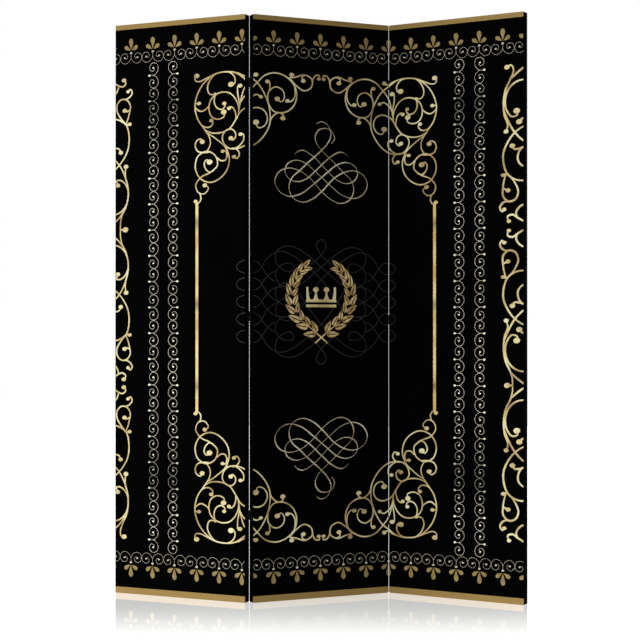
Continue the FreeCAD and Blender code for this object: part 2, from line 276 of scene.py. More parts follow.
class ScreenSizes(bpy.types.PropertyGroup):
    """Sizes of the panels and their cloth."""

    panel_width: length("Panel width", "Width of one panel", 0.450)
    panel_height: length("Panel height", "Height of one panel", CAD_BOX[1][2])
    canvas_depth: length("Canvas depth", "From the front face to the back of the canvas flap", 0.0247)
    canvas_thickness: length("Canvas thickness", "Thickness of the printed canvas", 0.0006)
    edge_radius: length("Edge radius", "Round of the canvas over the frame's edges", 0.0004)
    pressed_radius: length("Pressed radius", "Round of the canvas where a hinge presses it in", 0.0018)
    edge_swell: length("Edge swell", "How far the canvas stands off the frame's upright sides", 0.0002)
    fold_rise: length("Fold rise", "How far the canvas stands up at its fold on to the back", 0.0004)
    corner_radius: length("Corner radius", "Round of the canvas at the panel's four corners", 0.003)
    flap_width: length("Flap width", "Canvas folded on to the back", 0.030)
    mitre_rise: length("Mitre rise", "How far the doubled cloth stands proud at a back corner", 0.0007)
    lining_thickness: length("Lining thickness", "Thickness of the back lining", 0.0004)
    lining_inset: length("Lining inset", "From the panel's edge to the lining's edge", 0.010)
    lining_sag: length("Lining sag", "How far the lining gives way between the bars", 0.0022)
    lining_puff: length("Lining puff", "How far the lining's edge lifts between two staples", 0.0004)
    bar_width: length("Bar width", "Width of the frame's stiles and rails", 0.040)
    cross_rail_height: length("Cross rail height", "Middle of the cross rail above the floor", 0.860)
    staple_pitch: length("Staple pitch", "About how far apart the staples are", 0.110)
    pin_to_edge: length("Pin to edge", "From a hinge pin to the panel's edge", 0.00025)
    front_pin_offset: length("Front pin offset", "From the right joint's pins to the panel's face", 0.00035)
    back_pin_offset: length("Back pin offset", "From the left joint's pins to the lining", 0.0006)


class PrintSizes(bpy.types.PropertyGroup):
    """Sizes of the printed ornament."""

    centre_line: length("Centre line", "Middle of the design across the print", 0.6720)
    middle_line: length("Middle line", "Height of the design's middle, measured down from the top", 0.8560)
    corner_line: length("Corner line", "Line that the corner scrolls mirror, measured down", 0.8570)
    flourish_line: length("Flourish line", "Line that the two flourishes mirror, measured down", 0.8650)
    faint_line: length("Faint line", "Line that the faint flourish mirrors, measured down", 0.8405)
    edge_scroll_line: length("Edge scroll line", "Line that the edge scrolls mirror, measured down", 0.6205)
    edge_second_line: length("Edge second line", "Next line that they mirror, measured down", 1.0850)
    top_band: length("Top band", "Height of the gold band along the top", 0.015)
    bottom_band: length("Bottom band", "Height of the gold band along the bottom", 0.019)
    border_centre: length("Border centre", "Middle of the palmette rows across the print", 0.6695)
    border_pitch: length("Border pitch", "From one palmette to the next", 0.0767)
    border_down: length("Border down", "From the top to the balls of the border scrolls", 0.087)
    column_pitch: length("Column pitch", "From one scroll pair of a column to the next", 0.0774)
    column_across: length("Column across", "From the left edge to the balls of the outer column", 0.121)
    column_gap: length("Column gap", "Between the ball lines of two columns", 0.098)
    border_line: length("Border line", "Width of the border scrolls", 0.0010)
    column_line: length("Column line", "Width of the column scrolls", 0.0011)
    scroll_thin: length("Scroll thin", "Width of the corner scrolls at their ends", 0.0040)
    scroll_thick: length("Scroll thick", "Width of the corner scrolls in their middle", 0.0056)
    edge_thin: length("Edge thin", "Width of the edge scrolls at their ends", 0.0044)
    left_thick: length("Left thick", "Width of the left edge's scrolls in their middle", 0.0062)
    right_thick: length("Right thick", "Width of the right edge's scrolls in their middle", 0.0080)
    nib_thin: length("Nib thin", "Least width of the woven flourish", 0.0018)
    nib_thick: length("Nib thick", "Greatest width of the woven flourish", 0.0052)
    faint_thin: length("Faint thin", "Width of the faint flourish at its ends", 0.0042)
    faint_thick: length("Faint thick", "Width of the faint flourish in its middle", 0.0052)
    bar_across: length("Bar across", "From the left edge to the middle of the upright bar", 0.2868)
    bar_line: length("Bar line", "Width of the upright bar", 0.0124)
    ink_rise: length("Ink rise", "How far the ink stands on the canvas", 0.00012)
    print_edge: length("Print edge", "From the panel's upright edges to where the print ends", 0.0009)


class ScreenColours(bpy.types.PropertyGroup):
    """Colours of the print, cloth, wood and metal."""

    canvas_black: colour("Canvas black", "Printed ground of the canvas", "010101")
    canvas_fade: colour("Canvas fade", "Ground where the ink is thinner", "020202")
    gold_band: colour("Gold band", "Bands along the top and bottom", "967C4A")
    gold_flower: colour("Gold flower", "Palmettes", "8F7C50")
    gold_fine: colour("Gold fine", "Thin scrolls of the borders", "C6BFA6")
    gold_bright: colour("Gold bright", "Thin scrolls of the columns", "FBF4D8")
    pen_shade: colour("Pen shade", "Dark runs of the woven flourishes", "9C8F70")
    pen_gold: colour("Pen gold", "Light runs of the woven flourishes", "CFC8A9")
    gold_shade: colour("Gold shade", "Dark runs of the gold strokes", "A38C62")
    gold_middle: colour("Gold middle", "Middle tone of the gold strokes", "CAB885")
    gold_light: colour("Gold light", "Light runs of the gold strokes", "DDD4A8")
    bar_shade: colour("Bar shade", "Dark runs of the upright bars", "C6A266")
    bar_gold: colour("Bar gold", "Light runs of the upright bars", "DCC993")
    leaf_gold: colour("Leaf gold", "Wreath leaves", "D9C08A")
    leaf_shade: colour("Leaf shade", "Darker side of the wreath leaves", "98794A")
    grey_ink: colour("Grey ink", "Faint flourish", "2B2A2A")
    lining_cloth: colour("Lining cloth", "Unbleached back lining", "CFC4AE")
    pine_pale: colour("Pine pale", "Early wood of the frame bars", "DDBD8A")
    pine_dark: colour("Pine dark", "Late wood of the frame bars", "B98A52")
    beech: colour("Beech", "Dowels", "C9A279")
    bright_wire: colour("Bright wire", "Staples", "B8B8B6")
    black_paint: colour("Black paint", "Hinges, pins and screws", "070707")
    floor_white: colour("Floor white", "Studio floor", "E6E6E5")


def sizes():
    """The panel sizes in millimetres, by name."""
    group = bpy.context.scene.screen_sizes
    return {name: getattr(group, name) / MM for name in ScreenSizes.__annotations__}


def prints():
    """The print sizes in millimetres, by name."""
    group = bpy.context.scene.screen_prints
    return {name: getattr(group, name) / MM for name in PrintSizes.__annotations__}


def colours():
    """The scene's colours."""
    return bpy.context.scene.screen_colours


# Panels in space

def turned(points, angle):
    """Flat points turned about the origin by an angle."""
    cosine, sine = np.cos(angle), np.sin(angle)
    return points @ np.array(((cosine, sine), (-sine, cosine)))


def panel_place(panel):
    """Hinge pin that a panel hangs on, that pin in the panel's own frame, and the panel's turn.

    The line between the two pins gives the middle panel's turn, and an outer panel's joint is at its upper
    limit when that panel is in line with the middle one.
    """
    size = sizes()
    joints = {joint["name"]: joint for joint in frame["joints"]}
    left_pin, right_pin = (np.array(joints[name]["pos_m"][:2]) / MM for name in ("left_fold", "right_fold"))
    reach = size["panel_width"] / 2 + size["pin_to_edge"]
    back = size["canvas_depth"] + size["lining_thickness"] + size["back_pin_offset"]
    front = -size["front_pin_offset"]
    between = right_pin - left_pin
    middle_turn = atan2(between[1], between[0]) - atan2(front - back, 2 * reach)
    if panel == "middle":
        return left_pin, np.array((-reach, back)), middle_turn
    pin, local = {"left": (left_pin, (reach, back)), "right": (right_pin, (-reach, front))}[panel]
    return pin, np.array(local), middle_turn - radians(joints[panel + "_fold"]["range_deg"][1])


def in_space(panel, local):
    """Points (across, depth, height) of a panel in millimetres, as places in space in metres."""
    pin, pin_local, angle = panel_place(panel)
    flat = turned(local[:, :2] - pin_local, angle) + pin
    return np.column_stack((flat, local[:, 2])) * MM


# Meshes and pieces

def new_mesh(name, points, faces, flat_cloth=None):
    """Mesh from arrays of points and faces.

    flat_cloth holds, for each point, its place on the cloth before it was wrapped; it becomes the UV map.
    """
    mesh = bpy.data.meshes.new(name)
    mesh.from_pydata(points.tolist(), [], faces)
    if flat_cloth is not None:
        corners = np.empty(len(mesh.loops), np.int32)
        mesh.loops.foreach_get("vertex_index", corners)
        layer = mesh.uv_layers.new(name="flat_cloth")
        layer.data.foreach_set("uv", flat_cloth[corners].astype(np.float32).ravel())
    return mesh


def clean(mesh):
    """Merges doubled points and turns the faces outwards."""
    shape = bmesh.new()
    shape.from_mesh(mesh)
    bmesh.ops.remove_doubles(shape, verts=shape.verts, dist=MERGE_DISTANCE)
    bmesh.ops.dissolve_degenerate(shape, edges=shape.edges, dist=MERGE_DISTANCE)
    bmesh.ops.recalc_face_normals(shape, faces=shape.faces)
    shape.to_mesh(mesh)
    shape.free()
    mesh.update()


def add_object(name, data):
    """New object in the scene."""
    made = bpy.data.objects.new(name, data)
    bpy.context.scene.collection.objects.link(made)
    return made


def add_piece(mesh, panel, material):
    """Object that rides on its panel, with its material."""
    piece = add_object(mesh.name, mesh)
    mesh.materials.append(material)
    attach(piece, panel + "_panel")
    return piece


def lay_on_front(mesh, panel):
    """Takes a mesh's points from (across, down, out) of a panel's print to their places in space."""
    flat = np.empty(len(mesh.vertices) * 3, np.float32)
    mesh.vertices.foreach_get("co", flat)
    across, down, out = flat.reshape(-1, 3).astype(float).T
    placed = in_space(panel, np.column_stack((across, -out, sizes()["panel_height"] - down)))
    mesh.vertices.foreach_set("co", placed.astype(np.float32).ravel())
    mesh.update()


# Strokes of the print: each is a path on the print and its width along the way

def curve_through(points, step=PRINT_STEP):
    """Smooth line through points, in even steps: cubic spans whose slopes follow the chords beside them."""
    least_rows = 5
    knots = np.asarray(points, float)
    chord = np.linalg.norm(np.diff(knots, axis=0), axis=1)
    along = np.concatenate(((0.0,), np.cumsum(chord)))
    secant = np.diff(knots, axis=0) / chord[:, None]
    slope = np.empty_like(knots)
    share = (chord[:-1] / (chord[:-1] + chord[1:]))[:, None]
    slope[1:-1] = secant[:-1] * (1 - share) + secant[1:] * share
    slope[0] = 2 * secant[0] - slope[1] if len(knots) > 2 else secant[0]
    slope[-1] = 2 * secant[-1] - slope[-2] if len(knots) > 2 else secant[0]
    at = np.linspace(0, along[-1], max(least_rows, int(along[-1] / step) + 1))
    span = np.clip(np.searchsorted(along, at, side="right") - 1, 0, len(chord) - 1)
    reach = chord[span][:, None]
    t = (at - along[span])[:, None] / reach
    start = (2 * t ** 3 - 3 * t ** 2 + 1) * knots[span] + (t ** 3 - 2 * t ** 2 + t) * reach * slope[span]
    end = (3 * t ** 2 - 2 * t ** 3) * knots[span + 1] + (t ** 3 - t ** 2) * reach * slope[span + 1]
    return start + end


def stroke(points, thin, thick, step=PRINT_STEP):
    """Stroke through points that swells from thin to thick and back, as a power of a half sine does."""
    power = 0.6
    path = curve_through(points, step)
    swell = np.sin(np.pi * np.linspace(0, 1, len(path))) ** power
    return path, thin + (thick - thin) * swell


def ball(centre, radius, rows=9):
    """Round dot: a path along its diameter, as wide as the circle's chord at each place."""
    least = 0.01
    turn = np.linspace(np.pi, 0, rows)
    path = np.asarray(centre, float) + radius * np.column_stack((np.cos(turn), np.zeros(rows)))
    return path, 2 * radius * np.maximum(np.sin(turn), least)


def drop(tip, head, radius, rows=14):
    """Teardrop: a round head, and two straight sides that touch it and meet in the tip."""
    least = 0.05
    reach = np.linalg.norm(np.subtract(head, tip))
    centre = reach - radius
    slope = np.arcsin(radius / centre)
    along = reach * (1 - np.cos(np.linspace(0, np.pi, rows))) / 2
    sides = along * np.tan(slope)
    round_head = np.sqrt(np.maximum(radius ** 2 - (along - centre) ** 2, 0))
    half = np.where(along < centre * np.cos(slope) ** 2, sides, round_head)
    path = np.asarray(tip, float) + np.outer(along / reach, np.subtract(head, tip))
    return path, np.maximum(2 * half, least)


def straight(start, end, width, rows):
    """Straight stroke of one width."""
    return np.linspace(start, end, rows), np.full(rows, width)


def scroll_line(width, rows=26):
    """Scroll about the origin that starts on its left and winds round its far side.

    Its radius is steady, but for an opening that dies away in the first part of the turn and a curl at the
    end that grows with the fifth power of the turn.
    """
    radius, opening, opening_turn, curl, sweep = 16.0, 6.0, 35.0, 13.0, 400.0
    turn = np.linspace(0, sweep, rows)
    reach = radius + opening * np.exp(-turn / opening_turn) - curl * (turn / sweep) ** 5
    angle = np.radians(180 + turn)
    return reach[:, None] * np.column_stack((np.cos(angle), -np.sin(angle))), np.full(rows, width)


def nib_stroke(points, thin, thick):
    """Pen line: widest where it runs up to the right and thinnest where it runs down to the right."""
    power, taper_rows, taper_least = 1.3, 10, 0.35
    path = curve_through(points, PEN_STEP)
    ahead = np.gradient(path, axis=0)
    angle = np.arctan2(-ahead[:, 1], ahead[:, 0])
    width = thin + (thick - thin) * ((1 + np.sin(2 * angle)) / 2) ** power
    row = np.arange(len(path))
    return path, width * np.clip(np.minimum(row, row[::-1]) / taper_rows, taper_least, 1)


def mirrored(strokes, across=None, down=None):
    """Strokes mirrored about a line at that place across, or at that place down."""
    def flip(path):
        other = path.copy()
        for axis, line in enumerate((across, down)):
            if line is not None:
                other[:, axis] = 2 * line - other[:, axis]
        return other
    return [(flip(path), width) for path, width in strokes]


def drawn(rows, thin, thick):
    """Strokes and balls of a table of rows: ball at the start, points, ball at the end."""
    made = []
    for first_ball, points, last_ball in rows:
        made.append(stroke(points, thin, thick))
        for point, radius in ((points[0], first_ball), (points[-1], last_ball)):
            if radius:
                made.append(ball(point, radius))
    return made


def relief(strokes, rise):
    """Low ridges of ink: each row of a stroke has a foot on both sides, sunk in, and a crest between.

    Gives points as (across, down, out) and faces: two slopes, an underside and an end at both sides.
    """
    sink = -0.04
    points, faces, first = [], [], 0
    for path, width in strokes:
        ahead = np.gradient(path, axis=0)
        side = np.column_stack((-ahead[:, 1], ahead[:, 0])) / np.linalg.norm(ahead, axis=1)[:, None]
        half = width[:, None] / 2
        rows = len(path)
        flat = np.stack((path - side * half, path, path + side * half), axis=1)
        out = np.broadcast_to(np.array((sink, rise, sink)), (rows, 3))
        points.append(np.concatenate((flat, out[..., None]), axis=2).reshape(-1, 3))
        row = first + 3 * np.arange(rows - 1)[:, None]
        quads = np.concatenate((row + (0, 1, 4, 3), row + (1, 2, 5, 4), row + (2, 0, 3, 5)))
        last = first + 3 * (rows - 1)
        faces += quads.tolist() + [[first, first + 2, first + 1], [last, last + 1, last + 2]]
        first += 3 * rows
    return np.concatenate(points), faces


def cut_at_edges(mesh, edge):
    """Cuts off what lies past a panel's two upright edges and closes the cuts."""
    shape = bmesh.new()
    shape.from_mesh(mesh)
    for way in (-1, 1):
        everything = shape.verts[:] + shape.edges[:] + shape.faces[:]
        cut = bmesh.ops.bisect_plane(shape, geom=everything, plane_co=(way * edge, 0, 0),
                                     plane_no=(way, 0, 0), clear_outer=True)
        rim = [part for part in cut["geom_cut"] if isinstance(part, bmesh.types.BMEdge)]
        if rim:
            bmesh.ops.holes_fill(shape, edges=rim)
    shape.to_mesh(mesh)
    shape.free()


def print_strokes(name, strokes, material, rise=1.0):
    """Lays strokes on every panel that they cross, cut off at its edges; rise is a share of the ink's."""
    margin = 15  # more than a stroke reaches to the sides of its path
    width = sizes()["panel_width"]
    edge = width / 2 - prints()["print_edge"]
    made = []
    for place, panel in enumerate(PANELS):
        start = place * width
        here = [(path, wide) for path, wide in strokes
                if path[:, 0].max() > start - margin and path[:, 0].min() < start + width + margin]
        if not here:
            continue
        points, faces = relief(here, prints()["ink_rise"] * rise)
        points[:, 0] -= start + width / 2
        mesh = new_mesh(f"{panel}_{name}", points, faces)
        cut_at_edges(mesh, edge)
        if not len(mesh.polygons):
            bpy.data.meshes.remove(mesh)
            continue
        lay_on_front(mesh, panel)
        clean(mesh)
        made.append(add_piece(mesh, panel, material))
    if not made:
        raise RuntimeError(f"no panel takes the print {name}")


# Finishes

def fill(tree, node, inputs):
    """Sets or links a node's inputs by name or place; a node given as a value stands for its first output."""
    for key, value in inputs.items():
        if isinstance(value, bpy.types.Node):
            value = value.outputs[0]
        if isinstance(value, bpy.types.NodeSocket):
            tree.links.new(value, node.inputs[key])
        else:
            node.inputs[key].default_value = value


def add_node(tree, kind, inputs=None, stops=(), **settings):
    """Adds a shader node with its settings and inputs; stops are the (place, colour) stops of a ramp."""
    node = tree.nodes.new("ShaderNode" + kind)
    for key, value in settings.items():
        setattr(node, key, value)
    for spare in range(len(stops) - 2):
        node.color_ramp.elements.new(0.5)
    for k, (place, value) in enumerate(stops):
        node.color_ramp.elements[k].position = place
        node.color_ramp.elements[k].color = (*value, 1.0)
    fill(tree, node, inputs or {})
    return node


def new_material(name):
    """Empty material with its shader: (material, tree, shader)."""
    material = bpy.data.materials.new(name)
    material.use_nodes = True
    tree = material.node_tree
    return material, tree, tree.nodes["Principled BSDF"]


def darker(value, share):
    """Colour brought down to a share of its light."""
    return tuple(share * channel for channel in value)


def per_metre(millimetres):
    """Pattern scale that repeats once in so many millimetres."""
    return 1 / (millimetres * MM)


def weave_height(tree, cloth, thread):
    """Height of a plain weave: a wave across and a wave along, each as wide as one thread in millimetres.

    At scale 1 the wave texture runs through wave_radians in a metre.
    """
    wave_radians = 20
    scale = per_metre(thread) * FULL_CIRCLE / wave_radians
    waves = [add_node(tree, "TexWave", {"Vector": cloth, "Scale": scale, "Distortion": 0.6, "Detail": 1.0},
                      bands_direction=way).outputs["Fac"] for way in "XY"]
    return add_node(tree, "Math", {0: waves[0], 1: waves[1]}, operation="MULTIPLY")


def band_mask(tree, place):
    """One on the gold bands along the front's top and bottom, and nought on the rest of the cloth."""
    size, ink = sizes(), prints()
    half_wide, half_high = size["panel_width"] / 2, size["panel_height"] / 2
    bands = ((half_high - ink["top_band"], half_high), (-half_high, ink["bottom_band"] - half_high))
    mask = 0.0
    for low, high in bands:
        inside = 1.0
        for axis, edge, test in (("Y", low, "GREATER_THAN"), ("Y", high, "LESS_THAN"),
                                 ("X", -half_wide, "GREATER_THAN"), ("X", half_wide, "LESS_THAN")):
            passed = add_node(tree, "Math", {0: place[axis], 1: edge * MM}, operation=test)
            inside = add_node(tree, "Math", {0: inside, 1: passed}, operation="MULTIPLY")
        mask = add_node(tree, "Math", {0: mask, 1: inside}, operation="MAXIMUM")
    return mask


def printed_canvas():
    """Cotton canvas, plain weave, printed deep black with a gold band along the front's top and bottom.

    The ink soaks in, so the ground is dull and very dark and the thread only shows close by.
    """
    paint = colours()
    material, tree, shader = new_material("printed_cotton_canvas")
    cloth = add_node(tree, "UVMap", uv_map="flat_cloth")
    patch = add_node(tree, "TexNoise", {"Vector": cloth, "Scale": per_metre(120), "Detail": 4.0})
    ground = add_node(tree, "ValToRGB", {"Fac": patch},
                      ((0.35, paint.canvas_black), (0.75, paint.canvas_fade)))
    grain = add_node(tree, "TexNoise", {"Vector": cloth, "Scale": per_metre(6), "Detail": 3.0})
    gold = add_node(tree, "ValToRGB", {"Fac": grain},
                    ((0.3, darker(paint.gold_band, 0.86)), (0.7, paint.gold_band)))
    mask = band_mask(tree, add_node(tree, "SeparateXYZ", {"Vector": cloth}).outputs)
    blend = add_node(tree, "MixRGB", {"Fac": mask, "Color1": ground, "Color2": gold})
    # Threads are 0.5 mm apart; they are drawn 6 mm apart so that they show.
    weave = weave_height(tree, cloth, 6)
    bump = add_node(tree, "Bump", {"Height": weave, "Strength": 0.35, "Distance": 0.0003})
    fill(tree, shader, {"Base Color": blend, "Normal": bump, "Roughness": 0.85, "Specular IOR Level": 0.008})
    return material


def printed_ink(name, tones, blotch, shade=None):
    """Gold or grey ink printed in soft runs from dark to light, with the canvas thread showing through.

    shade holds a height, and stops (metres above or below it, share of light left) of a shade up the print.
    """
    material, tree, shader = new_material(name)
    place = add_node(tree, "TexCoord").outputs["Object"]
    run = add_node(tree, "TexNoise",
                   {"Vector": place, "Scale": per_metre(blotch), "Detail": 2.0, "Roughness": 0.4})
    first_stop, last_stop = 0.35, 0.63
    places = np.linspace(first_stop, last_stop, len(tones))
    tone = add_node(tree, "ValToRGB", {"Fac": run}, tuple(zip(places, tones)))
    if shade:
        height, stops = shade
        up = add_node(tree, "SeparateXYZ", {"Vector": place}).outputs["Z"]
        above = add_node(tree, "Math", {0: up, 1: height}, operation="SUBTRACT")
        away = add_node(tree, "Math", {0: above}, operation="ABSOLUTE")
        light = add_node(tree, "ValToRGB", {"Fac": away}, [(stop, (share,) * 3) for stop, share in stops])
        tone = add_node(tree, "MixRGB", {"Fac": 1.0, "Color1": tone, "Color2": light}, blend_type="MULTIPLY")
    thread = add_node(tree, "TexNoise", {"Vector": place, "Scale": per_metre(1.6), "Detail": 1.0})
    bump = add_node(tree, "Bump", {"Height": thread, "Strength": 0.2, "Distance": 0.0002})
    fill(tree, shader, {"Base Color": tone, "Normal": bump, "Roughness": 0.7, "Specular IOR Level": 0.05})
    return material


def lining_cotton():
    """Unbleached cotton cloth, plain weave: off white, dull, with slubs both ways that make it uneven."""
    paint = colours()
    material, tree, shader = new_material("unbleached_cotton_lining")
    cloth = add_node(tree, "UVMap", uv_map="flat_cloth")
    stretch = 0.08
    slubs = []
    for drawn_out in ((1.0, stretch, 1.0), (stretch, 1.0, 1.0)):
        stretched = add_node(tree, "Mapping", {"Vector": cloth, "Scale": drawn_out})
        slubs.append(add_node(tree, "TexNoise", {"Vector": stretched, "Scale": per_metre(4), "Detail": 4.0}))
    both = add_node(tree, "MixRGB", {"Fac": 0.5, "Color1": slubs[0], "Color2": slubs[1]})
    tone = add_node(tree, "ValToRGB", {"Fac": both},
                    ((0.38, darker(paint.lining_cloth, 0.72)), (0.62, paint.lining_cloth)))
    # Threads are 0.6 mm apart; they are drawn 6 mm apart so that they show.
    weave = weave_height(tree, cloth, 6)
    bump = add_node(tree, "Bump", {"Height": weave, "Strength": 0.5, "Distance": 0.0004})
    fill(tree, shader, {"Base Color": tone, "Normal": bump, "Roughness": 0.95, "Specular IOR Level": 0.15})
    return material


def sawn_wood(name, pale, dark, grain_width, along):
    """Planed timber: long grain lines along one axis, pale early wood between darker late wood."""
    material, tree, shader = new_material(name)
    place = add_node(tree, "TexCoord").outputs["Object"]
    stretch = 0.04
    drawn_out = {"X": (stretch, 1, 1), "Z": (1, 1, stretch)}[along]
    along_grain = add_node(tree, "Mapping", {"Vector": place, "Scale": drawn_out})
    figure = add_node(tree, "TexNoise", {"Vector": along_grain, "Scale": per_metre(grain_width),
                                         "Detail": 5.0, "Distortion": 0.4})
    tone = add_node(tree, "ValToRGB", {"Fac": figure}, ((0.35, dark), (0.6, pale)))
    bump = add_node(tree, "Bump", {"Height": figure, "Strength": 0.2, "Distance": 0.0003})
    fill(tree, shader, {"Base Color": tone, "Normal": bump, "Roughness": 0.6})
    return material


def metal(name, tint, metallic, roughness, speck):
    """Metal with small uneven spots in its finish, which break up the gloss."""
    material, tree, shader = new_material(name)
    place = add_node(tree, "TexCoord").outputs["Object"]
    spots = add_node(tree, "TexNoise", {"Vector": place, "Scale": per_metre(speck), "Detail": 3.0})
    tone = add_node(tree, "ValToRGB", {"Fac": spots}, ((0.3, darker(tint, 0.7)), (0.7, tint)))
    uneven = 0.08
    gloss = add_node(tree, "MapRange",
                     {"Value": spots, "To Min": roughness - uneven, "To Max": roughness + uneven})
    bump = add_node(tree, "Bump", {"Height": spots, "Strength": 0.15, "Distance": 0.0001})
    fill(tree, shader, {"Base Color": tone, "Roughness": gloss, "Normal": bump, "Metallic": metallic,
                        "Specular IOR Level": 0.2})
    return material


def studio_floor():
    """Opal acrylic sheet lit from below, with a mirror film that thins out away from the screen.

    Shadows are weak, and it mirrors what stands close by.
    """
    paint = colours()
    material, tree, shader = new_material("lit_opal_acrylic_floor")
    place = add_node(tree, "TexCoord").outputs["Object"]
    cloud = add_node(tree, "TexNoise", {"Vector": place, "Scale": per_metre(900), "Detail": 2.0})
    tone = add_node(tree, "ValToRGB", {"Fac": cloud},
                    ((0.3, darker(paint.floor_white, 0.985)), (0.7, paint.floor_white)))
    forward = add_node(tree, "SeparateXYZ", {"Vector": place}).outputs["Y"]
    film = add_node(tree, "MapRange", {"Value": forward, "From Min": -0.80, "From Max": -0.05,
                                       "To Min": 0.0, "To Max": 0.90}, interpolation_type="SMOOTHSTEP")
    fill(tree, shader, {"Base Color": tone, "Metallic": film, "Emission Color": tone,
                        "Emission Strength": 0.69, "Specular IOR Level": 0.0, "Roughness": 0.015,
                        "IOR": 1.45})
    return material


# Shapes of the cloth

def spread(half, spacing, near_end):
    """Places from one end to the other: a line close to each end, and even steps of about the spacing."""
    inner = half - near_end
    steps = max(2, int(round(2 * inner / spacing)))
    return np.concatenate(((-half,), np.linspace(-inner, inner, steps + 1), (half,)))


def grid_faces(rows, columns, first=0):
    """Faces of a grid of points counted row by row."""
    corner = first + (np.arange(rows - 1)[:, None] * columns + np.arange(columns - 1)).ravel()[:, None]
    return (corner + (0, 1, columns + 1, columns)).tolist()


def hinge_spans(panel):
    """Side, lowest and highest point of each hinge pin on a panel's edges, from the panel's middle height."""
    middle = sizes()["panel_height"] / 2
    spans = []
    for (owner, side), joint in HINGED_EDGES.items():
        for level in HINGE_LEVELS:
            if owner == panel:
                pin = frame["nodes"][f"{joint}_hinge_pin_{level}"]
                heights = [(pin.matrix_world @ Vector(corner)).z / MM - middle for corner in pin.bound_box]
                spans.append((side, min(heights), max(heights)))
    return spans


def panel_rim(columns, rows, fan):
    """Rim of a grid of columns and rows, as places and outward directions, which fan out at each corner."""
    wide, high = columns[-1], rows[-1]
    sides = (
        (columns, np.full(len(columns), -high), -90),
        (np.full(len(rows), wide), rows, 0),
        (columns[::-1], np.full(len(columns), high), 90),
        (np.full(len(rows), -wide), rows[::-1], 180),
    )
    rim, way = [], []
    for across, up, direction in sides:
        rim.append(np.column_stack((across, up)))
        way.append(np.full(len(across), direction, float))
        rim.append(np.repeat([[across[-1], up[-1]]], len(fan) - 2, axis=0))
        way.append(direction + fan[1:-1])
    way = np.radians(np.concatenate(way))
    return np.concatenate(rim), np.column_stack((np.cos(way), np.sin(way)))


def pressed_places(rim, half_wide, spans, past):
    """Whether each place of a rim lies beside a hinge, or less than so far past its ends."""
    pressed = np.zeros(len(rim), bool)
    for side, low, high in spans:
        beside = np.abs(2 * rim[:, 1] - low - high) < high - low + 2 * past
        pressed |= (rim[:, 0] == side * half_wide) & beside
    return pressed


def side_rings(outward, pressed, fan):
    """How far out and how deep each ring runs, from the front's rim to the fold on the back, along the rim.

    The rings run out, round the edge on a quarter circle, along the side and round the back edge. Where a
    hinge presses, the quarter circles are larger and the side lies flat on the frame.
    """
    size = sizes()
    depth = size["canvas_depth"]
    bend = np.radians(fan[1:])[:, None]
    edge = np.where(pressed, size["pressed_radius"], size["edge_radius"])
    side = size["corner_radius"] + np.where(pressed, 0, size["edge_swell"]) * np.abs(outward[:, 0])
    fold = depth + np.where(pressed, 0, size["fold_rise"])
    nothing = np.zeros(len(outward))
    level = side - edge
    reach = np.vstack((nothing, level, level + edge * np.sin(bend), side, side, level + edge * np.cos(bend)))
    deep = np.vstack((nothing, nothing, edge - edge * np.cos(bend), nothing + depth / 2, fold - edge,
                      fold - edge + edge * np.sin(bend)))
    return reach, deep


def wrapped_canvas(panel):
    """One sheet wrapped round a panel: its points, their places on the flat cloth, and its faces.

    A point is given as (across, depth, height above the panel's middle). The front is a flat grid. A ring is
    the grid's rim moved along its outward direction, which fans through a quarter turn at each corner; the
    flap's rings shrink instead and meet in a mitre.
    """
    across_spacing, up_spacing, near_edge = 45, 57, 7
    room, ramp = 0.5, 1.0  # of the pressed cloth past a hinge, and of its way back
    flap_shares = (0.4, 0.8, 1.0)
    size = sizes()
    corner = size["corner_radius"]
    halves = np.array((size["panel_width"], size["panel_height"])) / 2 - corner
    spans = hinge_spans(panel)
    steps = [(low - room - ramp, low - room, high + room, high + room + ramp) for _, low, high in spans]
    columns = spread(halves[0], across_spacing, near_edge)
    rows = np.union1d(spread(halves[1], up_spacing, near_edge), steps)
    across, height = np.meshgrid(columns, rows)
    front = np.column_stack((across.ravel(), np.zeros(across.size), height.ravel()))
    fan = np.linspace(0, 90, 5)  # degrees of a quarter turn
    rim, outward = panel_rim(columns, rows, fan)
    reach, deep = side_rings(outward, pressed_places(rim, halves[0], spans, room + ramp / 2), fan)
    ring = np.concatenate((rim + reach[:, :, None] * outward, deep[:, :, None]), axis=2)
    run = np.hypot(np.diff(reach, axis=0, prepend=0), np.diff(deep, axis=0, prepend=0))
    travelled = np.cumsum(run, axis=0)
    cloth = rim + travelled[:, :, None] * outward
    is_corner = (np.abs(rim) == halves).all(axis=1)
    for share in flap_shares:
        inset = size["flap_width"] * share
        shrunk = rim * ((halves + corner - inset) / halves)
        lifted = size["canvas_depth"] + size["mitre_rise"] * is_corner * (1 - share)
        ring = np.concatenate((ring, np.column_stack((shrunk, lifted))[None]))
        cloth = np.concatenate((cloth, (rim + (travelled[-1] + inset)[:, None] * outward)[None]))
    loop = np.concatenate((ring, ring[:, :1]), axis=1)[:, :, (0, 2, 1)].reshape(-1, 3)
    loop_cloth = np.concatenate((cloth, cloth[:, :1]), axis=1).reshape(-1, 2)
    faces = grid_faces(len(rows), len(columns)) + grid_faces(len(ring), len(rim) + 1, len(front))
    return np.concatenate((front, loop)), np.concatenate((front[:, (0, 2)], loop_cloth)), faces


